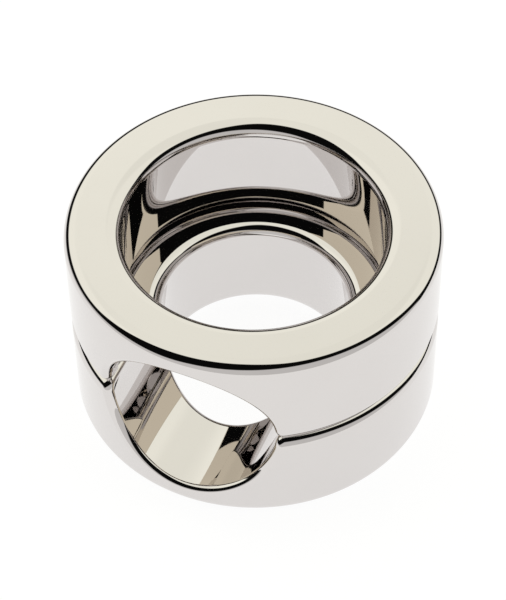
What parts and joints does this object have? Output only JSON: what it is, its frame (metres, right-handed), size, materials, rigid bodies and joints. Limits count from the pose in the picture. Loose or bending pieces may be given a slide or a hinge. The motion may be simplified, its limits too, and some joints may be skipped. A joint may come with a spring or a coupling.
{
  "type": "metal ring disentanglement puzzle",
  "caption": "Stacked polished metal puzzle rings of one outer size, stepped bore, round cross hole through the wall at their joint; the upper ring turns and lifts off.",
  "frame": {"origin": "centre of the underside of the lower ring, on the rings' common axis", "axes": "+Z along the rings' axis, from the lower ring to the upper ring; -Y along the cross hole's axis, out through the wall"},
  "size_m": [0.045, 0.045, 0.0274],
  "materials": {
    "polished_nickel": "mirror-polished nickel plate on cast zinc, slightly warm",
    "spring_steel": "plain ground spring steel"
  },
  "bodies": {
    "lower": {"lower_ring": "polished_nickel"},
    "guide": {"guide_ring": "spring_steel"},
    "upper": {"upper_ring": "polished_nickel"}
  },
  "joints": [
    {"name": "ring_lift", "type": "slide", "parent": "lower", "child": "guide", "axis": [0, 0, 1], "range_m": [0, 0.02]},
    {"name": "ring_turn", "type": "hinge", "parent": "guide", "child": "upper", "pos_m": [0, 0, 0.0137], "axis": [0, 0, 1], "continuous": true}
  ]
}
